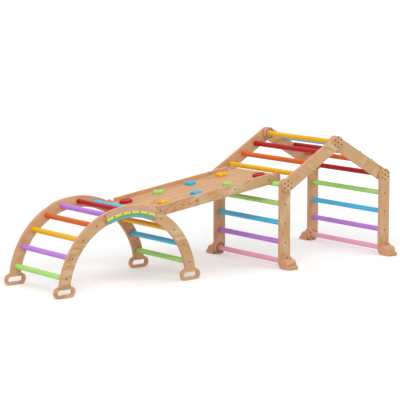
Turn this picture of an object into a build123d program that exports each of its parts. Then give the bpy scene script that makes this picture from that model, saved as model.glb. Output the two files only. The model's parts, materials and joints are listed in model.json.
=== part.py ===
from build123d import *
import os
from math import asin, cos, degrees, radians, sin

# Climbing frame for toddlers: a house of four hinged rung panels, a ramp with
# climbing holds that hooks on the house, and a rung arch that carries its low end.
# Millimetres, +Z up, +X from the arch to the house, floor at Z = 0, origin under the
# middle of the whole frame. "Near" pieces lie on the -Y side, "far" ones on +Y.

# Plywood and rungs
BOARD_THICK = 20.0
EDGE_ROUND = 2.0
RUNG_DIAMETER = 30.0
RUNG_CHAMFER = 1.0
SOCKET_DEPTH = 6.0
SOCKET_CLEARANCE = 0.1

# House panels
RUNG_PITCH = 110.0
RUNG_STEPS = 4
HOUSE_BOARD_WIDTH = 76.0
ROOF_SLOPE = 30.0
HOUSE_INNER_WIDTH = 570.0
HINGE_GAP = 1.0
RAISED_RUNG_OFFSET = 31.0

# Index rings and bolts of the hinges
RING_RADIUS = 27.5
RING_HOLE = 9.0
INNER_RING_HOLES = 12
OUTER_RING_HOLES = 6
INDEX_RECESS = 1.5
BOLT_DIAMETER = 8.0
BOLT_HEAD = 11.0
BOLT_HEAD_HEIGHT = 4.0
BOLT_IN_RUNG = 40.0
BOLT_RECESS = 1.0
EAVE_BOLT_ANGLES = (30.0, 150.0, 270.0)
RIDGE_BOLT_ANGLES = (90.0, 210.0, 330.0)
PIN_CLEARANCE = 0.05
TURN_CLEARANCE = 0.25
WASHER_DIAMETER = 34.0

# Wood screws
SCREW_DIAMETER = 5.0
SCREW_HEAD = 9.0
SCREW_HEAD_HEIGHT = 4.0
SCREW_RECESS = 0.6
SCREW_IN_RUNG = 30.0

# Feet
FOOT_HEAD_THICK = 19.0
FOOT_REACH = 79.0
FOOT_SWEEP = 36.0
FOOT_TOE_HEIGHT = 20.0
FOOT_CORNER = 18.0
FOOT_EDGE_ROUND = 3.0
FOOT_BOLT_ANGLES = (30.0, 90.0, 150.0)

# Arch
ARCH_RUNG_RADIUS = 420.0
ARCH_RUNG_STEP = 15.2
ARCH_BOARD_WIDTH = 64.0
ARCH_INNER_WIDTH = 460.0
LOOP_CENTRE = 416.0
LOOP_LENGTH = 130.0
LOOP_HEIGHT = 62.0
LOOP_SLOT_LENGTH = 94.0
LOOP_SLOT_HEIGHT = 28.0
LOOP_FILLET = 12.0

# Rainbow trim on the arch
TRIM_THICK = 18.0
TRIM_HALF_ANGLE = 22.0
TRIM_WIDTH = 56.0
TRIM_CORNER = 12.0
TRIM_SCREW_IN_BOARD = 12.0

# Ramp
RAMP_LENGTH = 850.0
RAMP_END = 52.0
RAMP_OUTER_WIDTH = 412.0
RAIL_HEIGHT = 60.0
RAIL_CORNER = 25.0
NOTCH_CLEARANCE = 0.3
RAMP_BOARD_LIFT = 20.0
RAMP_SCREW_IN_BOARD = 35.0
RAMP_SCREW_FIRST = 35.0
RAMP_SCREW_SECOND = 287.0

# Climbing holds on the ramp
HOLD_HEIGHT = 16.0
HOLD_EDGE_ROUND = 6.0
HOLD_WAIST_ROUND = 7.0
HOLD_COLUMN = 114.0
HOLD_FIRST = 33.0
HOLD_PITCH = 230.0
HOLD_SCREW_SPACING = 24.0
HOLD_SCREW_RECESS = 2.0
HOLD_SCREW_IN_BOARD = 14.0
HOLD_DISC = 37.0

# Worked out from the driving sizes
RUNG_RADIUS = RUNG_DIAMETER / 2
BOARD_HALF = HOUSE_BOARD_WIDTH / 2
PANEL_LENGTH = RUNG_PITCH * RUNG_STEPS
INNER_FACE = HOUSE_INNER_WIDTH / 2
OUTER_FACE = INNER_FACE + BOARD_THICK + HINGE_GAP
ARCH_FACE = ARCH_INNER_WIDTH / 2
RAIL_FACE = RAMP_OUTER_WIDTH / 2 - BOARD_THICK
LOOP_END = LOOP_CENTRE + LOOP_LENGTH / 2

ROOF_RUN = PANEL_LENGTH * cos(radians(ROOF_SLOPE))
ROOF_RISE = PANEL_LENGTH * sin(radians(ROOF_SLOPE))
EAVE_HEIGHT = BOARD_HALF + PANEL_LENGTH

# The ramp leads from the left eave rung down to the arch's eighth rung.
RAMP_RUNG = 8
ARCH_RUNGS = 11


def arch_rung_angle(number):
    """Angle of an arch rung above the floor line, counted from the left end."""
    return 90 + ((ARCH_RUNGS + 1) / 2 - number) * ARCH_RUNG_STEP


RAMP_FOOT_HEIGHT = ARCH_RUNG_RADIUS * sin(radians(arch_rung_angle(RAMP_RUNG)))
RAMP_SLOPE = degrees(asin((EAVE_HEIGHT - RAMP_FOOT_HEIGHT) / RAMP_LENGTH))
ARCH_TO_LEG = (
    RAMP_LENGTH * cos(radians(RAMP_SLOPE))
    + ARCH_RUNG_RADIUS * cos(radians(arch_rung_angle(RAMP_RUNG)))
)
WHOLE_LENGTH = LOOP_END + ARCH_TO_LEG + 2 * ROOF_RUN + BOARD_HALF

ARCH_X = LOOP_END - WHOLE_LENGTH / 2
LEG_X = ARCH_X + ARCH_TO_LEG

FOOT_LEFT = (LEG_X, BOARD_HALF)
EAVE_LEFT = (LEG_X, EAVE_HEIGHT)
RIDGE = (LEG_X + ROOF_RUN, EAVE_HEIGHT + ROOF_RISE)
EAVE_RIGHT = (LEG_X + 2 * ROOF_RUN, EAVE_HEIGHT)
FOOT_RIGHT = (LEG_X + 2 * ROOF_RUN, BOARD_HALF)

# Each panel runs from its start axis to its end axis. A rung is given by its name, its
# step along the panel, its lift off the centre line, and how it is held: by a screw, by
# the bolt of a hinge, or by glue alone.
PANELS = {
    "leg_left": {
        "axes": (FOOT_LEFT, EAVE_LEFT),
        "face": INNER_FACE,
        "ring_holes": INNER_RING_HOLES,
        "sunk_heads": (),
        "rungs": (
            ("rung_foot", 0, 0, "bolt"),
            ("rung_1", 1, 0, "screw"),
            ("rung_2", 2, 0, "screw"),
            ("rung_3", 3, 0, "screw"),
            ("rung_eave", 4, 0, "bolt"),
        ),
    },
    "roof_left": {
        "axes": (EAVE_LEFT, RIDGE),
        "face": OUTER_FACE,
        "ring_holes": OUTER_RING_HOLES,
        "sunk_heads": (0, RUNG_STEPS),
        "rungs": (
            ("rung_1", 1, 0, "glue"),
            ("rung_2", 2, 0, "glue"),
            ("rung_3", 3, 0, "glue"),
        ),
    },
    "roof_right": {
        "axes": (RIDGE, EAVE_RIGHT),
        "face": INNER_FACE,
        "ring_holes": INNER_RING_HOLES,
        "sunk_heads": (),
        "rungs": (
            ("rung_ridge", 0, 0, "bolt"),
            ("rung_1", 1, RAISED_RUNG_OFFSET, "glue"),
            ("rung_2", 2, RAISED_RUNG_OFFSET, "glue"),
            ("rung_3", 3, RAISED_RUNG_OFFSET, "glue"),
            ("rung_eave", 4, 0, "bolt"),
        ),
    },
    "leg_right": {
        "axes": (EAVE_RIGHT, FOOT_RIGHT),
        "face": OUTER_FACE,
        "ring_holes": OUTER_RING_HOLES,
        "sunk_heads": (0,),
        "rungs": (
            ("rung_1", 1, 0, "screw"),
            ("rung_2", 2, 0, "screw"),
            ("rung_3", 3, 0, "screw"),
            ("rung_foot", 4, 0, "bolt"),
        ),
    },
}

# Arch rungs by colour, numbered from the left end.
ARCH_RUNG_GROUPS = {
    "green": (1, 11),
    "purple": (2, 5),
    "yellow": (3, 9),
    "orange": (4, 8),
    "red": (6,),
    "blue": (7, 10),
}
TRIM_RUNGS = (5, 6, 7)

# Holds by colour, in their order along a column: the count of lobes round the middle,
# the radius of a lobe and its distance out. The red hold is a plain disc.
HOLD_LOBE_COUNTS = {"red": 0, "green": 4, "blue": 3, "yellow": 5}
LOBE_RADIUS = {"red": HOLD_DISC, "green": 18.0, "blue": 21.0, "yellow": 11.0}
LOBE_OUT = {"red": 0.0, "green": 17.0, "blue": 13.0, "yellow": 26.0}


def save(piece, name):
    """Label a finished piece and write it under that name."""
    piece.label = name
    export_step(piece, f"parts/{name}.step")


def far_copy(piece):
    """The same piece on the far side of the frame."""
    with BuildPart() as copy:
        mirror(piece, about=Plane.XZ)
    return copy.part


def rods(points, radius, start, end, mode=Mode.ADD):
    """Rods or holes along Y at (x, z) points, between two distances on the near side."""
    with BuildSketch(Plane.XZ.offset(start)) as spots:
        with Locations(*points):
            Circle(radius)
    extrude(spots.sketch, amount=end - start, mode=mode)


def headed(points, face, recess, head, shank, end, extra=0.0, mode=Mode.ADD):
    """Headed screws or bolts sunk in a near face and reaching in to a given distance.

    With an extra radius they are the holes for such screws, and open to the face.
    """
    top = face if extra else face - recess
    head_end = face - recess - head[1]
    rods(points, head[0] / 2 + extra, head_end, top, mode)
    rods(points, shank / 2 + extra, end, head_end, mode)


SCREW_HEAD_SIZE = (SCREW_HEAD, SCREW_HEAD_HEIGHT)
BOLT_HEAD_SIZE = (BOLT_HEAD, BOLT_HEAD_HEIGHT)


def panel_plane(panel, face):
    """Plane on a panel's start axis, its x along the panel, facing the near side."""
    (x0, z0), (x1, z1) = panel["axes"]
    return Plane(origin=(x0, -face, z0), x_dir=(x1 - x0, 0, z1 - z0), z_dir=(0, -1, 0))


def panel_point(panel, step, lift=0.0):
    """The (x, z) place of a rung that stands some steps along a panel."""
    place = panel_plane(panel, 0).from_local_coords((step * RUNG_PITCH, lift, 0))
    return (place.X, place.Z)


def ring_points(centre, angles):
    """Places on an index ring at angles measured from +X."""
    return [
        (
            centre[0] + RING_RADIUS * cos(radians(angle)),
            centre[1] + RING_RADIUS * sin(radians(angle)),
        )
        for angle in angles
    ]


def held_points(panel, *holds):
    """Places of the rungs of a panel that are held in one of the given ways."""
    return [panel_point(panel, step, lift) for _, step, lift, held in panel["rungs"] if held in holds]


def house_board(panel):
    """Near side board of a panel: rung sockets inside, index rings and bolt holes at its ends."""
    face = panel["face"]
    outer = face + BOARD_THICK
    plane = panel_plane(panel, face)
    with BuildPart() as board:
        with BuildSketch(plane):
            with Locations((PANEL_LENGTH / 2, 0)):
                SlotCenterToCenter(PANEL_LENGTH, HOUSE_BOARD_WIDTH)
        extrude(amount=BOARD_THICK)
        fillet(board.faces().filter_by(Axis.Y).edges(), EDGE_ROUND)
        with BuildSketch(plane):
            with Locations((0, 0), (PANEL_LENGTH, 0)):
                with PolarLocations(RING_RADIUS, panel["ring_holes"]):
                    Circle(RING_HOLE / 2)
                Circle(BOLT_DIAMETER / 2 + PIN_CLEARANCE)
        extrude(amount=BOARD_THICK, mode=Mode.SUBTRACT)
        sockets = held_points(panel, "bolt", "screw", "glue")
        rods(sockets, RUNG_RADIUS + SOCKET_CLEARANCE, face, face + SOCKET_DEPTH, Mode.SUBTRACT)
        for step in panel["sunk_heads"]:
            headed([panel_point(panel, step)], outer, BOLT_RECESS, BOLT_HEAD_SIZE,
                   BOLT_DIAMETER, face, PIN_CLEARANCE, Mode.SUBTRACT)
        screws = held_points(panel, "screw")
        if screws:
            headed(screws, outer, SCREW_RECESS, SCREW_HEAD_SIZE,
                   SCREW_DIAMETER, face, PIN_CLEARANCE, Mode.SUBTRACT)
    return board.part


def rung(points, reach, held):
    """Round rungs through (x, z) points, from side to side, bored at both ends."""
    bore, depth = {
        "bolt": (BOLT_DIAMETER, BOLT_IN_RUNG),
        "screw": (SCREW_DIAMETER, SCREW_IN_RUNG),
        "glue": (0, 0),
    }[held]
    with BuildPart() as bar:
        with BuildSketch(Plane.XZ):
            with Locations(*points):
                Circle(RUNG_RADIUS)
        extrude(amount=reach, both=True)
        chamfer(bar.edges().filter_by(GeomType.CIRCLE), RUNG_CHAMFER)
        if bore:
            radius = bore / 2 + PIN_CLEARANCE
            rods(points, radius, reach - depth, reach, Mode.SUBTRACT)
            rods(points, radius, -reach, depth - reach, Mode.SUBTRACT)
    return bar.part


def hinge_bolts(joints):
    """Hinge bolts with their washers, near and far.

    Each joint is its axis, the outer face that the head is sunk in, the rung's end, and
    the board face that the washer lies on.
    """
    with BuildPart() as bolts:
        for axis, outer, rung_end, washer_face in joints:
            headed([axis], outer, BOLT_RECESS, BOLT_HEAD_SIZE, BOLT_DIAMETER, rung_end - BOLT_IN_RUNG)
            with BuildSketch(Plane.XZ.offset(washer_face)):
                with Locations(axis):
                    Circle(WASHER_DIAMETER / 2)
                    Circle(BOLT_DIAMETER / 2 + PIN_CLEARANCE, mode=Mode.SUBTRACT)
            extrude(amount=HINGE_GAP)
        mirror(about=Plane.XZ)
    return bolts.part


def rung_screws(panel):
    """Screws through a leg panel's boards into its rungs, near and far."""
    outer = panel["face"] + BOARD_THICK
    end = panel["face"] + SOCKET_DEPTH - SCREW_IN_RUNG
    with BuildPart() as screws:
        headed(held_points(panel, "screw"), outer, SCREW_RECESS, SCREW_HEAD_SIZE, SCREW_DIAMETER, end)
        mirror(about=Plane.XZ)
    return screws.part


def index_bolts(points):
    """Index bolts in the outer boards' rings, near and far."""
    with BuildPart() as bolts:
        rods(points, RING_HOLE / 2 - PIN_CLEARANCE, OUTER_FACE, OUTER_FACE + BOARD_THICK - INDEX_RECESS)
        mirror(about=Plane.XZ)
    return bolts.part


def foot(axis, face):
    """Near foot: a round head on the leg's end that sweeps out to a flat toe."""
    x = axis[0]
    head = -face - FOOT_HEAD_THICK
    toe = -face - FOOT_REACH
    sweep_top = FOOT_TOE_HEIGHT + FOOT_SWEEP
    with BuildPart() as block:
        with BuildSketch(Plane.YZ.offset(x - BOARD_HALF)):
            with BuildLine():
                Polyline((head, sweep_top), (head, HOUSE_BOARD_WIDTH), (-face, HOUSE_BOARD_WIDTH),
                         (-face, 0), (toe, 0), (toe, FOOT_TOE_HEIGHT), (head - FOOT_SWEEP, FOOT_TOE_HEIGHT))
                RadiusArc((head - FOOT_SWEEP, FOOT_TOE_HEIGHT), (head, sweep_top), FOOT_SWEEP)
            make_face()
        extrude(amount=HOUSE_BOARD_WIDTH)
        fillet(block.edges().filter_by(Axis.Z).group_by(Axis.Y)[0], FOOT_CORNER)
        with BuildSketch(Plane.XZ.offset(face)):
            with Locations(axis):
                Circle(BOARD_HALF)
                Rectangle(HOUSE_BOARD_WIDTH, BOARD_HALF, align=(Align.CENTER, Align.MAX))
        extrude(amount=FOOT_REACH, mode=Mode.INTERSECT)
        toe_top = block.faces().filter_by(Axis.Z).sort_by(Axis.Z)[-1]
        rim = toe_top.edges().filter_by(lambda edge: edge.center().Y < head - FOOT_SWEEP - FOOT_EDGE_ROUND)
        fillet(rim, FOOT_EDGE_ROUND)
        front = face + FOOT_HEAD_THICK
        headed([axis], front, BOLT_RECESS, BOLT_HEAD_SIZE, BOLT_DIAMETER, face, TURN_CLEARANCE, Mode.SUBTRACT)
        rods(ring_points(axis, FOOT_BOLT_ANGLES), RING_HOLE / 2, face, front, Mode.SUBTRACT)
    return block.part


def foot_bolts(axis, face):
    """Index bolts in a near foot's head."""
    with BuildPart() as bolts:
        rods(ring_points(axis, FOOT_BOLT_ANGLES), RING_HOLE / 2 - PIN_CLEARANCE,
             face, face + FOOT_HEAD_THICK - INDEX_RECESS)
    return bolts.part


def on_arch(angle, radius=ARCH_RUNG_RADIUS):
    """The (x, z) place at an angle and radius from the arch's centre."""
    return (ARCH_X + radius * cos(radians(angle)), radius * sin(radians(angle)))


def arch_rung_points(numbers):
    return [on_arch(arch_rung_angle(number)) for number in numbers]


def plain_arch_rungs():
    return [number for number in range(1, ARCH_RUNGS + 1) if number not in TRIM_RUNGS]


def trim_screw_angles():
    """Angles of the trim's screws: one at each rung under it and one between."""
    first = arch_rung_angle(TRIM_RUNGS[0])
    rungs = [arch_rung_angle(number) for number in TRIM_RUNGS]
    between = [first - ARCH_RUNG_STEP * (place + 0.5) for place in range(len(TRIM_RUNGS) - 1)]
    return rungs, between


def arch_holes(face, outer):
    """Cuts the screw holes of an arch board from its outer face."""
    headed(arch_rung_points(plain_arch_rungs()), outer, SCREW_RECESS, SCREW_HEAD_SIZE,
           SCREW_DIAMETER, face, PIN_CLEARANCE, Mode.SUBTRACT)
    at_rungs, between = trim_screw_angles()
    radius = SCREW_DIAMETER / 2 + PIN_CLEARANCE
    rods([on_arch(angle) for angle in at_rungs], radius, face, outer, Mode.SUBTRACT)
    rods([on_arch(angle) for angle in between], radius, outer - TRIM_SCREW_IN_BOARD, outer, Mode.SUBTRACT)


def arch_board():
    """Near arch board: a half ring whose ends spread into low loops on the floor."""
    outer = ARCH_FACE + BOARD_THICK
    outer_radius = ARCH_RUNG_RADIUS + ARCH_BOARD_WIDTH / 2
    inner_radius = ARCH_RUNG_RADIUS - ARCH_BOARD_WIDTH / 2
    loop_axis = LOOP_HEIGHT / 2
    loops = [(ARCH_X + side * LOOP_CENTRE, loop_axis) for side in (-1, 1)]
    with BuildPart() as board:
        with BuildSketch(Plane.XZ.offset(ARCH_FACE)):
            with Locations((ARCH_X, 0)):
                Circle(outer_radius)
                Circle(inner_radius, mode=Mode.SUBTRACT)
            with Locations((ARCH_X, loop_axis)):
                Rectangle(2 * outer_radius, 2 * outer_radius, align=(Align.CENTER, Align.MAX),
                          mode=Mode.SUBTRACT)
            with Locations(*loops):
                SlotOverall(LOOP_LENGTH, LOOP_HEIGHT)
            offset(amount=LOOP_FILLET)
            offset(amount=-LOOP_FILLET)
            with Locations(*loops):
                SlotOverall(LOOP_SLOT_LENGTH, LOOP_SLOT_HEIGHT, mode=Mode.SUBTRACT)
        extrude(amount=BOARD_THICK)
        fillet(board.faces().filter_by(Axis.Y).edges(), EDGE_ROUND)
        rods(arch_rung_points(range(1, ARCH_RUNGS + 1)), RUNG_RADIUS + SOCKET_CLEARANCE,
             ARCH_FACE, ARCH_FACE + SOCKET_DEPTH, Mode.SUBTRACT)
        arch_holes(ARCH_FACE, outer)
    return board.part


def rainbow_trim():
    """Near trim: a curved plate screwed on the arch's top."""
    face = ARCH_FACE + BOARD_THICK
    front = face + TRIM_THICK
    with BuildPart() as plate:
        with BuildSketch(Plane.XZ.offset(face)) as outline:
            with BuildLine():
                inner = CenterArc((ARCH_X, 0), ARCH_RUNG_RADIUS - TRIM_WIDTH / 2,
                                  90 - TRIM_HALF_ANGLE, 2 * TRIM_HALF_ANGLE)
                outer = CenterArc((ARCH_X, 0), ARCH_RUNG_RADIUS + TRIM_WIDTH / 2,
                                  90 - TRIM_HALF_ANGLE, 2 * TRIM_HALF_ANGLE)
                Line(inner @ 0, outer @ 0)
                Line(inner @ 1, outer @ 1)
            make_face()
            fillet(outline.vertices(), TRIM_CORNER)
        extrude(amount=TRIM_THICK)
        fillet(plate.faces().sort_by(Axis.Y)[0].edges(), EDGE_ROUND)
        at_rungs, between = trim_screw_angles()
        headed([on_arch(angle) for angle in at_rungs + between], front, SCREW_RECESS, SCREW_HEAD_SIZE,
               SCREW_DIAMETER, face, PIN_CLEARANCE, Mode.SUBTRACT)
    return plate.part


def arch_screws():
    """All screws of the arch, near and far: into the rungs, and through the trim."""
    outer = ARCH_FACE + BOARD_THICK
    front = outer + TRIM_THICK
    in_rung = ARCH_FACE + SOCKET_DEPTH - SCREW_IN_RUNG
    at_rungs, between = trim_screw_angles()
    with BuildPart() as screws:
        headed(arch_rung_points(plain_arch_rungs()), outer, SCREW_RECESS, SCREW_HEAD_SIZE,
               SCREW_DIAMETER, in_rung)
        headed([on_arch(angle) for angle in at_rungs], front, SCREW_RECESS, SCREW_HEAD_SIZE,
               SCREW_DIAMETER, in_rung)
        headed([on_arch(angle) for angle in between], front, SCREW_RECESS, SCREW_HEAD_SIZE,
               SCREW_DIAMETER, outer - TRIM_SCREW_IN_BOARD)
        mirror(about=Plane.XZ)
    return screws.part


def ramp_direction():
    slope = radians(RAMP_SLOPE)
    return (cos(slope), 0, sin(slope))


def ramp_plane(face=0.0):
    """Plane on the left eave axis, its x up the ramp and its y square to the ramp."""
    return Plane(origin=(EAVE_LEFT[0], -face, EAVE_LEFT[1]), x_dir=ramp_direction(), z_dir=(0, -1, 0))


def ramp_point(along, lift):
    """The (x, z) place at a distance along the ramp and above its rungs' line."""
    place = ramp_plane().from_local_coords((along, lift, 0))
    return (place.X, place.Z)


def ramp_top_plane(lift):
    """Plane along the ramp's surface: its x up the ramp, its y across it."""
    x, z = ramp_point(0, lift)
    slope = radians(RAMP_SLOPE)
    return Plane(origin=(x, 0, z), x_dir=ramp_direction(), z_dir=(-sin(slope), 0, cos(slope)))


RAMP_BOARD_MIDDLE = RAMP_BOARD_LIFT + BOARD_THICK / 2
RAMP_BOARD_TOP = RAMP_BOARD_LIFT + BOARD_THICK
RAMP_WHOLE = RAMP_LENGTH + 2 * RAMP_END
RAMP_SCREW_GAPS = (RAMP_SCREW_FIRST, RAMP_SCREW_SECOND)
RAMP_SCREWS = [
    ramp_point(place, RAMP_BOARD_MIDDLE)
    for gap in RAMP_SCREW_GAPS
    for place in (-gap, gap - RAMP_LENGTH)
]
RAMP_SCREW_END = RAIL_FACE - RAMP_SCREW_IN_BOARD
HOLD_HEAD_LIFT = HOLD_HEIGHT - HOLD_SCREW_RECESS - SCREW_HEAD_HEIGHT


def hold_places(row):
    """The two holds of a row: in the near column from the top, in the far one from below."""
    gap = HOLD_FIRST + row * HOLD_PITCH
    return [(-gap, -HOLD_COLUMN), (gap - RAMP_LENGTH, HOLD_COLUMN)]


def hold_screw_places(rows):
    """Two screws in each hold of the given rows, side by side along the ramp."""
    return [
        (along + side * HOLD_SCREW_SPACING / 2, across)
        for row in rows
        for along, across in hold_places(row)
        for side in (-1, 1)
    ]


def ramp_pins(rows, radius, lift, length, mode=Mode.ADD):
    """Pins or holes square to the ramp at the hold screws' places of some rows."""
    with BuildSketch(ramp_top_plane(lift)) as spots:
        with Locations(*hold_screw_places(rows)):
            Circle(radius)
    extrude(spots.sketch, amount=length, mode=mode)


def ramp_rail():
    """Near rail: hooks over a rung at each end, either way up."""
    with BuildPart() as rail:
        with BuildSketch(ramp_plane(RAIL_FACE)):
            with Locations((-RAMP_LENGTH / 2, RAIL_HEIGHT / 2)):
                RectangleRounded(RAMP_WHOLE, RAIL_HEIGHT, RAIL_CORNER)
            with Locations((0, 0), (0, RAIL_HEIGHT), (-RAMP_LENGTH, 0), (-RAMP_LENGTH, RAIL_HEIGHT)):
                Circle(RUNG_RADIUS + NOTCH_CLEARANCE, mode=Mode.SUBTRACT)
        extrude(amount=BOARD_THICK)
        fillet(rail.faces().sort_by(Axis.Y)[0].edges(), EDGE_ROUND)
        headed(RAMP_SCREWS, RAIL_FACE + BOARD_THICK, SCREW_RECESS, SCREW_HEAD_SIZE,
               SCREW_DIAMETER, RAIL_FACE, PIN_CLEARANCE, Mode.SUBTRACT)
    return rail.part


def ramp_board():
    """Board between the rails, bored for the rails' screws and the holds' screws."""
    radius = SCREW_DIAMETER / 2 + PIN_CLEARANCE
    with BuildPart() as board:
        with BuildSketch(ramp_plane()):
            with Locations((-RAMP_LENGTH / 2, RAMP_BOARD_MIDDLE)):
                Rectangle(RAMP_WHOLE, BOARD_THICK)
        extrude(amount=RAIL_FACE, both=True)
        fillet(board.edges().filter_by(Axis.Y), EDGE_ROUND)
        rods(RAMP_SCREWS, radius, RAMP_SCREW_END, RAIL_FACE, Mode.SUBTRACT)
        rods(RAMP_SCREWS, radius, -RAIL_FACE, -RAMP_SCREW_END, Mode.SUBTRACT)
        ramp_pins(range(len(HOLD_LOBE_COUNTS)), radius, RAMP_BOARD_TOP - HOLD_SCREW_IN_BOARD,
                  HOLD_SCREW_IN_BOARD, Mode.SUBTRACT)
    return board.part


def ramp_screws():
    """Screws through the rails into the ramp board, near and far."""
    with BuildPart() as screws:
        headed(RAMP_SCREWS, RAIL_FACE + BOARD_THICK, SCREW_RECESS, SCREW_HEAD_SIZE,
               SCREW_DIAMETER, RAMP_SCREW_END)
        mirror(about=Plane.XZ)
    return screws.part


def holds(row, colour):
    """The two holds of a row on the ramp board: a disc, or lobes round a middle."""
    with BuildPart() as group:
        with BuildSketch(ramp_top_plane(RAMP_BOARD_TOP)) as outline:
            with Locations(*hold_places(row)):
                Circle(max(LOBE_OUT[colour], LOBE_RADIUS[colour]))
                if HOLD_LOBE_COUNTS[colour]:
                    with PolarLocations(LOBE_OUT[colour], HOLD_LOBE_COUNTS[colour]):
                        Circle(LOBE_RADIUS[colour])
            if HOLD_LOBE_COUNTS[colour]:
                fillet(outline.vertices(), HOLD_WAIST_ROUND)
        extrude(amount=HOLD_HEIGHT)
        up = ramp_top_plane(RAMP_BOARD_TOP).z_dir
        top = group.faces().filter_by(lambda face: face.normal_at().dot(up) > 0.99)
        fillet(top.edges(), HOLD_EDGE_ROUND)
        for lift, diameter in ((0, SCREW_DIAMETER), (HOLD_HEAD_LIFT, SCREW_HEAD)):
            ramp_pins([row], diameter / 2 + PIN_CLEARANCE, RAMP_BOARD_TOP + lift,
                      HOLD_HEIGHT - lift, Mode.SUBTRACT)
    return group.part


def hold_screws():
    """Screws of the climbing holds, into the ramp board."""
    shank = HOLD_SCREW_IN_BOARD + HOLD_HEAD_LIFT
    rows = range(len(HOLD_LOBE_COUNTS))
    with BuildPart() as screws:
        ramp_pins(rows, SCREW_DIAMETER / 2, RAMP_BOARD_TOP - HOLD_SCREW_IN_BOARD, shank)
        ramp_pins(rows, SCREW_HEAD / 2, RAMP_BOARD_TOP + HOLD_HEAD_LIFT, SCREW_HEAD_HEIGHT)
    return screws.part


def save_pair(piece, name):
    """Write a near piece and its copy on the far side."""
    save(piece, f"{name}_near")
    save(far_copy(piece), f"{name}_far")


def save_house():
    """Boards, rungs, fasteners and feet of the four panels."""
    for name, panel in PANELS.items():
        save_pair(house_board(panel), f"{name}_board")
        reach = panel["face"] + SOCKET_DEPTH
        for rung_name, step, lift, held in panel["rungs"]:
            save(rung([panel_point(panel, step, lift)], reach, held), f"{name}_{rung_name}")
    for name in ("leg_left", "leg_right"):
        save(rung_screws(PANELS[name]), f"{name}_rung_screws")

    inner_board = INNER_FACE + BOARD_THICK
    outer_board = OUTER_FACE + BOARD_THICK
    left_foot = inner_board + HINGE_GAP
    right_foot = outer_board + HINGE_GAP
    inner_end = INNER_FACE + SOCKET_DEPTH
    outer_end = OUTER_FACE + SOCKET_DEPTH
    save(hinge_bolts([
        (FOOT_LEFT, left_foot + FOOT_HEAD_THICK, inner_end, inner_board),
        (EAVE_LEFT, outer_board, inner_end, inner_board),
    ]), "leg_left_hinge_bolts")
    save(hinge_bolts([
        (RIDGE, outer_board, inner_end, inner_board),
        (EAVE_RIGHT, outer_board, inner_end, inner_board),
    ]), "roof_right_hinge_bolts")
    save(hinge_bolts([
        (FOOT_RIGHT, right_foot + FOOT_HEAD_THICK, outer_end, outer_board),
    ]), "leg_right_hinge_bolts")
    save(index_bolts(ring_points(EAVE_LEFT, EAVE_BOLT_ANGLES) + ring_points(RIDGE, RIDGE_BOLT_ANGLES)),
         "roof_left_index_bolts")
    save(index_bolts(ring_points(EAVE_RIGHT, EAVE_BOLT_ANGLES)), "leg_right_index_bolts")
    for side, axis, face in (("left", FOOT_LEFT, left_foot), ("right", FOOT_RIGHT, right_foot)):
        save_pair(foot(axis, face), f"foot_{side}")
        save_pair(foot_bolts(axis, face), f"foot_{side}_bolts")


def save_arch():
    """Boards, rungs, trims and screws of the arch."""
    save_pair(arch_board(), "arch_board")
    save_pair(rainbow_trim(), "arch_trim")
    save(arch_screws(), "arch_screws")
    for colour, numbers in ARCH_RUNG_GROUPS.items():
        bars = rung(arch_rung_points(numbers), ARCH_FACE + SOCKET_DEPTH, "screw")
        save(bars, f"arch_rungs_{colour}")


def save_ramp():
    """Rails, board, holds and fasteners of the ramp."""
    save_pair(ramp_rail(), "ramp_rail")
    save(ramp_board(), "ramp_board")
    save(ramp_screws(), "ramp_screws")
    save(hold_screws(), "ramp_hold_screws")
    for row, colour in enumerate(HOLD_LOBE_COUNTS):
        save(holds(row, colour), f"ramp_holds_{colour}")


os.makedirs("parts", exist_ok=True)
save_house()
save_arch()
save_ramp()
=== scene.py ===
import json
import math

import bmesh
import bpy
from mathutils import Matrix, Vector


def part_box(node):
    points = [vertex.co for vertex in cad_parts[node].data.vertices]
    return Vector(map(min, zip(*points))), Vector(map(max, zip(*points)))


# Toddler climbing frame on a white floor: metres, +Z up, near side towards -Y.

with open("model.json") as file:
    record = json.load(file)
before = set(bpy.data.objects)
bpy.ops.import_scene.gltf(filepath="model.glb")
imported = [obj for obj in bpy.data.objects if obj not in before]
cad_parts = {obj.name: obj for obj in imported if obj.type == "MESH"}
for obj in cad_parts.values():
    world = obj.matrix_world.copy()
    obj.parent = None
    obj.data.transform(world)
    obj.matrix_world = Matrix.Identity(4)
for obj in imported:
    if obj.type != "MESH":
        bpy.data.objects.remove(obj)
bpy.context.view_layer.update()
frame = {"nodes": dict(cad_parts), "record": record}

# Colours, in sRGB: the painted rungs, and the climbing holds
PAINTS = {
    "green": "B3EA7B",
    "purple": "C885EA",
    "yellow": "F8BC03",
    "orange": "E06503",
    "red": "B90303",
    "dark_red": "B60303",
    "blue": "4DC5F6",
    "pink": "F9B0C7",
}
HOLD_PAINTS = {
    "red": "B01418",
    "green": "A6DC72",
    "blue": "45B6E8",
    "yellow": "F0B40A",
}
# Veneer tones, from the ground to the figure: pale, middle and brown
OUTER_VENEER = ("CEB892", "C29D74", "B17C45")
# Far boards: a browner copy of the same veneer, painted shade for their inner faces
FAR_SHADED_VENEER = ("D8B28C", "CFA078", "BB8656")
PLY_EDGE = "E3A581"
PLY_EDGE_DARK = "C07A55"
# Painted shade on the walls of the index holes
HOLE_SHADE = "4A2E1E"
RAMP_GROUND = "D3A57B"
RAMP_FIBRE = "C2955F"
RAMP_GRAIN = "B67C3E"
TRIM_EDGE = "C08A66"
STEEL_DARK = "2A201A"
STEEL_LIGHT = "40332B"

# Bands of the trim: where each starts, as a radius of the arch, and its colour
TRIM_INNER = 0.390
TRIM_OUTER = 0.450
TRIM_BANDS = (
    (0.3900, "A88468"),
    (0.3935, "5E9DB4"),
    (0.4030, "4BA468"),
    (0.4130, "D9CF3A"),
    (0.4265, "C09A74"),
    (0.4340, "B88CB6"),
    (0.4400, "C79C78"),
)

# Two plies of the plywood together, and the reach of a ring of index holes
PLY_PITCH = 0.0044
RING_REACH = 0.033

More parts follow.
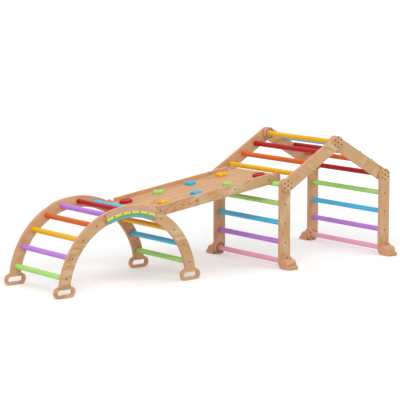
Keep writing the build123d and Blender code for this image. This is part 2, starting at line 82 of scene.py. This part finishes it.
# Stretches of the coordinates: noise is drawn out along the axes with the lower numbers
FIGURE_STRETCH = (0.35, 1.0, 1.0)
FIBRE_STRETCH = (6.0, 180.0, 180.0)
STREAK_STRETCH = (40, 260, 40)
WANDER_STRETCH = (1.2, 3.0, 3.0)
PATCH_STRETCH = (2.5, 7.0, 7.0)
RAMP_FIBRE_STRETCH = (5.0, 160.0, 160.0)
PAINT_STRETCH = (120, 5, 120)

# How far one step of the seed moves a board's figure
SEED_STEP = (1.7, 0.9, 2.3)

# Noises: scale, detail, roughness and distortion
FIGURE_NOISE = (11.0, 4.0, 0.55, 1.3)
FIGURE_CLOUDS = (6.0, 2.0, 0.5, 0.6)
FIBRES = (1.0, 3.0, 0.6)
STREAKS = (1.0, 2.0, 0.5)
RAMP_CLOUDS = (1.0, 2.0)
RAMP_FIBRES = (1.0, 3.0)
PAINT_GRAIN = (1.0, 3.0, 0.6)
PAINT_CLOUDS = (18.0, 2.0, 0.5)
SAND = (900.0, 2.0, 0.6)
RESIN_CLOUDS = (45.0, 2.0, 0.5)
BAND_NOISE = (60.0, 3.0)
TRIM_CLOUDS = (30.0, 3.0)
STEEL_CLOUDS = (400.0, 3.0)
NOISE_MIDDLE = 0.5

# Places in the noise of the veneer's tones, pale to brown and back, and of the two of steel
FIGURE_PLACES = (0.38, 0.47, 0.52, 0.56, 0.68)
STEEL_PLACES = (0.3, 0.8)

# The ramp's grain: lines in radians across a metre, and how far they wander
GRAIN_LINES = 90.0
GRAIN_WANDER = 40.0

# How far the trim's bands wander, in metres
BAND_WANDER = 0.0012

# Fades: nought up to the first number, rising to the third, or to one, at the second
FIGURE_FADE = (0.36, 0.56, 0.85)
FIBRE_FADE = (0.35, 0.75, 0.25)
PLY_FADE = (-1.0, 1.0, 0.6)
STREAK_FADE = (0.4, 0.7, 0.3)
LINE_FADE = (0.3, 0.95)
PATCH_FADE = (0.38, 0.58, 0.6)
RAMP_FIBRE_FADE = (0.35, 0.75, 0.4)
PAINT_GRAIN_FADE = (0.40, 0.80, 0.4)
PAINT_CLOUD_FADE = (0.45, 0.75, 0.15)
RESIN_CLOUD_FADE = (0.40, 0.75, 0.5)
TRIM_CLOUD_FADE = (0.45, 0.8, 0.16)

# Fades from edge to face, as the surface comes round to face the near or the far side
BOARD_FACE_FADE = (0.55, 0.85)
TRIM_FACE_FADE = (0.25, 0.55)

# Brightness of the darker tones of paint and resin
PAINT_GRAIN_SHADE = 0.78
PAINT_CLOUD_SHADE = 0.85
RESIN_SHADE = 0.78

# Bumps: strength, and depth in metres
WOOD_BUMP = (0.12, 0.0006)
PAINT_BUMP = (0.10, 0.0004)
SAND_BUMP = (0.35, 0.0005)
TRIM_BUMP = (0.05, 0.0005)
STEEL_BUMP = (0.1, 0.0003)

# Skins: roughness and specular level; wood and paint have a fade of their noise as roughness
WOOD_ROUGHNESS = (0.0, 1.0, 0.9)
WOOD_SPECULAR = 0.25
PAINT_ROUGHNESS = (0.0, 1.0, 0.8)
PAINT_SPECULAR = 0.3
RAMP_SKIN = (0.5, 0.25)
RESIN_SKIN = (0.55, 0.3)
TRIM_SKIN = (0.45, 0.3)
STEEL_SKIN = (0.5, 0.3)
FLOOR_SKIN = (0.8, 0.0)

# Sockets of a Mix node that mixes colours
MIX_FACTOR = 0
MIX_FIRST = 6
MIX_SECOND = 7
MIX_RESULT = 2

# Slope of the grain of each group of boards, in degrees, seen from the near side
GRAIN_SLOPES = {
    "leg": 90.0,
    "roof_left": -30.0,
    "roof_right": 30.0,
    "arch": 0.0,
    "ramp": 24.0,
    "foot": 0.0,
}

# Slope of the ramp's board, in degrees
RAMP_SLOPE = 7.8

# Rungs on whose axes the rings of index holes lie
RING_RUNGS = (
    "leg_left_rung_foot",
    "leg_left_rung_eave",
    "roof_right_rung_ridge",
    "roof_right_rung_eave",
    "leg_right_rung_foot",
)

# The share of the white world that lights the object
AMBIENT = 0.533

# Lamps: where each stands, what it points at, its width and its watts
LAMPS = {
    "key": ((-3.2, -3.6, 4.2), (0, 0, 0.3), 3.0, 145),
    "fill": ((3.0, -4.0, 2.6), (0.4, 0, 0.3), 3.0, 58.1),
    "top": ((0, 0.5, 4.5), (0, 0, 0), 4.0, 48.4),
}

# Floor: its grey, and the white added where it is seen, more away from the object
FLOOR_GREY = 0.9
FLOOR_LIFT_NEAR = 0.18
FLOOR_LIFT_FAR = 0.6
FLOOR_NEAR = 1.5
FLOOR_FAR = 5.0
FLOOR_REACH = 12.0

# Camera, placed by the rungs, boards and rings
CAMERA_AT = (-6.18247, -7.84671, 1.86262)
CAMERA_DOWN = 8.374
CAMERA_TURN = 38.1854
CAMERA_LENS = 159.767
SENSOR = 36.0
CAMERA_CLIP = 100


def linear(value):
    """One channel of an sRGB colour made linear, by the standard's curve."""
    return value / 12.92 if value <= 0.04045 else ((value + 0.055) / 1.055) ** 2.4


def srgb(code):
    """Linear colour from an sRGB code."""
    return tuple(linear(int(code[place:place + 2], 16) / 255) for place in (0, 2, 4)) + (1.0,)


def darker(code, share):
    """A colour at a share of its brightness."""
    return tuple(value * share for value in srgb(code)[:3]) + (1.0,)


def axis_of(node):
    """X and Z of a rung's axis."""
    low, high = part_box(node)
    return (low[0] + high[0]) / 2, (low[2] + high[2]) / 2


ARCH_LOW, ARCH_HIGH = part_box("arch_board_near")
ARCH_X = (ARCH_LOW[0] + ARCH_HIGH[0]) / 2


class Nodes:
    """A material's node tree, with short calls to add and join nodes."""

    def __init__(self, name):
        self.material = bpy.data.materials.new(name)
        self.material.use_nodes = True
        self.tree = self.material.node_tree
        self.shader = self.tree.nodes["Principled BSDF"]
        self.coordinates = self.tree.nodes.new("ShaderNodeTexCoord")

    def put(self, socket, value):
        """Links a node's output to the socket, or sets the socket's own value."""
        if isinstance(value, bpy.types.NodeSocket):
            self.tree.links.new(value, socket)
        else:
            socket.default_value = value

    def add(self, kind, *values, **settings):
        """A new node, with its settings, and the values of its inputs in their order."""
        node = self.tree.nodes.new(kind)
        for key, value in settings.items():
            setattr(node, key, value)
        for place, value in enumerate(values):
            self.put(node.inputs[place], value)
        return node

    def math(self, operation, *values):
        return self.add("ShaderNodeMath", *values, operation=operation).outputs[0]

    def placed(self, scale=(1, 1, 1), turn=(0, 0, 0), move=(0, 0, 0), source=None):
        """Object coordinates, or the source, turned, scaled and moved."""
        return self.add("ShaderNodeMapping", source or self.coordinates.outputs["Object"],
                        move, turn, scale).outputs[0]

    def split(self, vector):
        return self.add("ShaderNodeSeparateXYZ", vector).outputs

    def length(self, across, up):
        """Distance in the XZ plane, from its part along each axis."""
        square = self.math("ADD", self.math("MULTIPLY", across, across),
                           self.math("MULTIPLY", up, up))
        return self.math("SQRT", square)

    def facing(self):
        """How far the surface faces the near or the far side."""
        return self.math("ABSOLUTE", self.split(self.coordinates.outputs["Normal"])[1])

    def noise(self, vector, scale, detail, roughness=0.55, distortion=0.0):
        node = self.add("ShaderNodeTexNoise", noise_dimensions="3D")
        for key, value in (("Vector", vector), ("Scale", scale), ("Detail", detail),
                           ("Roughness", roughness), ("Distortion", distortion)):
            self.put(node.inputs[key], value)
        return node.outputs[0]

    def fade(self, value, low, high, top=1.0):
        """Nought up to the low value, rising to the top at the high one."""
        return self.add("ShaderNodeMapRange", value, low, high, 0.0, top).outputs[0]

    def ramp(self, factor, stops, steps=False):
        """Colours at their places, blended between them or, with steps, each up to the next."""
        node = self.add("ShaderNodeValToRGB", factor)
        node.color_ramp.interpolation = "CONSTANT" if steps else "LINEAR"
        elements = node.color_ramp.elements
        elements[0].position, elements[0].color = stops[0]
        elements[1].position, elements[1].color = stops[-1]
        for place, colour in stops[1:-1]:
            elements.new(place).color = colour
        return node.outputs[0]

    def mix(self, factor, first, second):
        node = self.add("ShaderNodeMix", data_type="RGBA")
        self.put(node.inputs[MIX_FACTOR], factor)
        self.put(node.inputs[MIX_FIRST], first)
        self.put(node.inputs[MIX_SECOND], second)
        return node.outputs[MIX_RESULT]

    def bump(self, height, strength, distance):
        node = self.add("ShaderNodeBump")
        self.put(node.inputs["Strength"], strength)
        self.put(node.inputs["Distance"], distance)
        self.put(node.inputs["Height"], height)
        self.put(self.shader.inputs["Normal"], node.outputs[0])

    def finish(self, colour, roughness, specular):
        for key, value in (("Base Color", colour), ("Roughness", roughness),
                           ("Specular IOR Level", specular)):
            self.put(self.shader.inputs[key], value)
        return self.material


def grey(value):
    return (value, value, value, 1)


def inside_rings(n, place):
    """One within the reach of a ring of index holes, nought elsewhere."""
    inside = 0.0
    for rung in RING_RUNGS:
        x, z = axis_of(rung)
        across = n.math("SUBTRACT", place[0], x)
        up = n.math("SUBTRACT", place[2], z)
        near = n.math("LESS_THAN", n.length(across, up), RING_REACH)
        inside = n.math("MAXIMUM", near, inside)
    return inside


def plywood(name, slope, seed, tones, ringed):
    """Lacquered plywood: figured veneer on the wide faces, stacked plies on the edges.

    The slope is the grain's angle in the XZ plane, and the seed moves the figure. A ringed
    board has painted shade, a dark colour, on the walls of its index holes.
    """
    n = Nodes(name)
    pale, middle, brown = (srgb(tone) for tone in tones)
    along = n.placed(turn=(0, slope, 0), move=[seed * step for step in SEED_STEP])
    stretched = n.placed(FIGURE_STRETCH, source=along)
    figure = n.noise(stretched, *FIGURE_NOISE)
    cloud = n.noise(stretched, *FIGURE_CLOUDS)
    tone = n.ramp(figure, list(zip(FIGURE_PLACES, (pale, middle, brown, middle, pale))))
    veneer = n.mix(n.fade(cloud, *FIGURE_FADE), middle, tone)
    fibre = n.noise(n.placed(FIBRE_STRETCH, source=along), *FIBRES)
    veneer = n.mix(n.fade(fibre, *FIBRE_FADE), veneer, brown)

    place = n.split(n.coordinates.outputs["Object"])
    plies = n.math("SINE", n.math("MULTIPLY", place[1], 2 * math.pi / PLY_PITCH))
    edge = n.mix(n.fade(plies, *PLY_FADE), srgb(PLY_EDGE), srgb(PLY_EDGE_DARK))
    streak = n.noise(n.placed(STREAK_STRETCH), *STREAKS)
    edge = n.mix(n.fade(streak, *STREAK_FADE), edge, pale)
    # Painted shade in the index holes: edge faces within a ring's reach get a dark colour
    if ringed:
        edge = n.mix(inside_rings(n, place), edge, srgb(HOLE_SHADE))

    colour = n.mix(n.fade(n.facing(), *BOARD_FACE_FADE), edge, veneer)
    n.bump(fibre, *WOOD_BUMP)
    return n.finish(colour, n.fade(fibre, *WOOD_ROUGHNESS), WOOD_SPECULAR)


def ramp_veneer():
    """The ramp board: pale veneer with long, wandering grain down its length."""
    n = Nodes("ramp_veneer")
    along = n.placed(turn=(0, math.radians(RAMP_SLOPE), 0))
    warp = n.noise(n.placed(WANDER_STRETCH, source=along), *RAMP_CLOUDS)
    wander = n.math("MULTIPLY", warp, GRAIN_WANDER)
    lane = n.math("MULTIPLY_ADD", n.split(along)[1], GRAIN_LINES, wander)
    line = n.fade(n.math("SINE", lane), *LINE_FADE)
    patch = n.noise(n.placed(PATCH_STRETCH, source=along), *RAMP_CLOUDS)
    grain = n.math("MULTIPLY", line, n.fade(patch, *PATCH_FADE))
    fibre = n.noise(n.placed(RAMP_FIBRE_STRETCH, source=along), *RAMP_FIBRES)
    ground = n.mix(n.fade(fibre, *RAMP_FIBRE_FADE), srgb(RAMP_GROUND), srgb(RAMP_FIBRE))
    n.bump(fibre, *WOOD_BUMP)
    return n.finish(n.mix(grain, ground, srgb(RAMP_GRAIN)), *RAMP_SKIN)


def paint(name, code, seed):
    """Satin paint on a dowel: faint grain along it and a soft change of tone."""
    n = Nodes(name)
    grain = n.noise(n.placed(PAINT_STRETCH, move=(seed, seed, seed)), *PAINT_GRAIN)
    soft = n.noise(n.placed(move=(seed, 0, seed)), *PAINT_CLOUDS)
    colour = n.mix(n.fade(grain, *PAINT_GRAIN_FADE), srgb(code), darker(code, PAINT_GRAIN_SHADE))
    colour = n.mix(n.fade(soft, *PAINT_CLOUD_FADE), colour, darker(code, PAINT_CLOUD_SHADE))
    n.bump(grain, *PAINT_BUMP)
    return n.finish(colour, n.fade(grain, *PAINT_ROUGHNESS), PAINT_SPECULAR)


def resin(name, code, seed):
    """Moulded resin of a climbing hold, with a fine sandy skin."""
    n = Nodes(name)
    sand = n.noise(n.placed(), *SAND)
    cloud = n.noise(n.placed(move=(seed, 0, 0)), *RESIN_CLOUDS)
    colour = n.mix(n.fade(cloud, *RESIN_CLOUD_FADE), srgb(code), darker(code, RESIN_SHADE))
    n.bump(sand, *SAND_BUMP)
    return n.finish(colour, *RESIN_SKIN)


def rainbow():
    """Painted bands that follow the arch, on a plywood plate."""
    n = Nodes("rainbow")
    place = n.split(n.placed(move=(-ARCH_X, 0, 0)))
    offset = n.math("SUBTRACT", n.noise(n.placed(), *BAND_NOISE), NOISE_MIDDLE)
    wander = n.math("MULTIPLY", offset, BAND_WANDER)
    radius = n.math("ADD", n.length(place[0], place[2]), wander)
    spot = n.fade(radius, TRIM_INNER, TRIM_OUTER)
    width = TRIM_OUTER - TRIM_INNER
    stops = [((start - TRIM_INNER) / width, srgb(code)) for start, code in TRIM_BANDS]
    bands = n.ramp(spot, stops, steps=True)
    cloud = n.noise(n.placed(), *TRIM_CLOUDS)
    bands = n.mix(n.fade(cloud, *TRIM_CLOUD_FADE), bands, srgb(OUTER_VENEER[-1]))
    colour = n.mix(n.fade(n.facing(), *TRIM_FACE_FADE), srgb(TRIM_EDGE), bands)
    n.bump(cloud, *TRIM_BUMP)
    return n.finish(colour, *TRIM_SKIN)


def steel():
    """Dark bronzed steel of screws and bolts."""
    n = Nodes("bronzed_steel")
    cloud = n.noise(n.placed(), *STEEL_CLOUDS)
    tones = (srgb(STEEL_DARK), srgb(STEEL_LIGHT))
    n.bump(cloud, *STEEL_BUMP)
    return n.finish(n.ramp(cloud, list(zip(STEEL_PLACES, tones))), *STEEL_SKIN)


def board_wood(node, seed):
    """Plywood of a board, rail or foot, with the grain of its group."""
    group = next(key for key in GRAIN_SLOPES if node.startswith(key))
    # Far boards, feet aside, take the browner veneer: painted shade for their inner faces, which
    # lie in the frame's shade
    far_shaded = node.endswith("_far") and group != "foot"
    ringed = group not in ("arch", "ramp", "foot")
    tones = FAR_SHADED_VENEER if far_shaded else OUTER_VENEER
    return plywood(f"plywood_{node}", math.radians(GRAIN_SLOPES[group]), seed, tones, ringed)


def dress(node, material):
    """Gives a CAD node its material."""
    shape = frame["nodes"][node]
    if not shape.material_slots:
        shape.data.materials.append(material)
    for slot in shape.material_slots:
        slot.material = material


def dress_nodes():
    """Materials of every CAD node, by the record's slots; the woods have one each."""
    slots = {entry["node"]: entry["material_slot"] for entry in frame["record"]["subparts"]}
    shared = {"dark_steel": steel(), "rainbow_trim": rainbow(), "ramp_plywood": ramp_veneer()}
    for seed, (colour, code) in enumerate(PAINTS.items()):
        shared[f"{colour}_paint"] = paint(f"{colour}_paint", code, seed)
    for seed, (colour, code) in enumerate(HOLD_PAINTS.items()):
        shared[f"{colour}_hold"] = resin(f"{colour}_hold", code, seed)
    for seed, (node, slot) in enumerate(sorted(slots.items())):
        material = shared[slot] if slot in shared else board_wood(node, seed)
        dress(node, material)


def seen(tree):
    """One for the rays that look at a surface straight or in a reflection."""
    path = tree.nodes.new("ShaderNodeLightPath")
    either = tree.nodes.new("ShaderNodeMath")
    either.operation = "MAXIMUM"
    tree.links.new(path.outputs["Is Camera Ray"], either.inputs[0])
    tree.links.new(path.outputs["Is Glossy Ray"], either.inputs[1])
    return either.outputs[0]


def floor_material():
    """Floor that looks white where nothing shades it, and keeps the shadow."""
    n = Nodes("floor")
    n.finish(grey(FLOOR_GREY), *FLOOR_SKIN)
    away = n.add("ShaderNodeVectorMath", n.coordinates.outputs["Object"],
                 operation="LENGTH").outputs["Value"]
    more = n.fade(away, FLOOR_NEAR, FLOOR_FAR, FLOOR_LIFT_FAR - FLOOR_LIFT_NEAR)
    amount = n.math("MULTIPLY", seen(n.tree), n.math("ADD", more, FLOOR_LIFT_NEAR))
    lift = n.add("ShaderNodeEmission", grey(1.0), amount)
    both = n.add("ShaderNodeAddShader", n.shader.outputs[0], lift.outputs[0])
    n.tree.links.new(both.outputs[0], n.tree.nodes["Material Output"].inputs[0])
    return n.material


def make_floor():
    mesh = bpy.data.meshes.new("floor")
    shape = bmesh.new()
    bmesh.ops.create_grid(shape, x_segments=1, y_segments=1, size=FLOOR_REACH)
    shape.to_mesh(mesh)
    shape.free()
    floor = bpy.data.objects.new("floor", mesh)
    bpy.context.scene.collection.objects.link(floor)
    floor.data.materials.append(floor_material())


def make_world():
    """White where it is seen, and soft light for everything else."""
    world = bpy.data.worlds.new("studio")
    bpy.context.scene.world = world
    world.use_nodes = True
    tree = world.node_tree
    background = tree.nodes["Background"]
    background.inputs["Color"].default_value = grey(1.0)
    strength = tree.nodes.new("ShaderNodeMapRange")
    strength.inputs["To Min"].default_value = AMBIENT
    strength.inputs["To Max"].default_value = 1.0
    tree.links.new(seen(tree), strength.inputs["Value"])
    tree.links.new(strength.outputs["Result"], background.inputs["Strength"])


def make_lamp(name, at, towards, size, power):
    data = bpy.data.lights.new(name, "AREA")
    data.shape = "DISK"
    data.size = size
    data.energy = power
    lamp = bpy.data.objects.new(name, data)
    bpy.context.scene.collection.objects.link(lamp)
    lamp.location = at
    lamp.rotation_euler = (Vector(towards) - Vector(at)).to_track_quat("-Z", "Y").to_euler()


def make_camera():
    data = bpy.data.cameras.new("camera")
    data.sensor_fit = "HORIZONTAL"
    data.sensor_width = SENSOR
    data.lens = CAMERA_LENS
    data.clip_end = CAMERA_CLIP
    camera = bpy.data.objects.new("camera", data)
    bpy.context.scene.collection.objects.link(camera)
    camera.location = CAMERA_AT
    camera.rotation_euler = (math.radians(90 - CAMERA_DOWN), 0, math.radians(-CAMERA_TURN))
    bpy.context.scene.camera = camera


dress_nodes()
make_floor()
make_world()
for lamp, settings in LAMPS.items():
    make_lamp(lamp, *settings)
make_camera()
bpy.context.scene.view_settings.view_transform = "Standard"
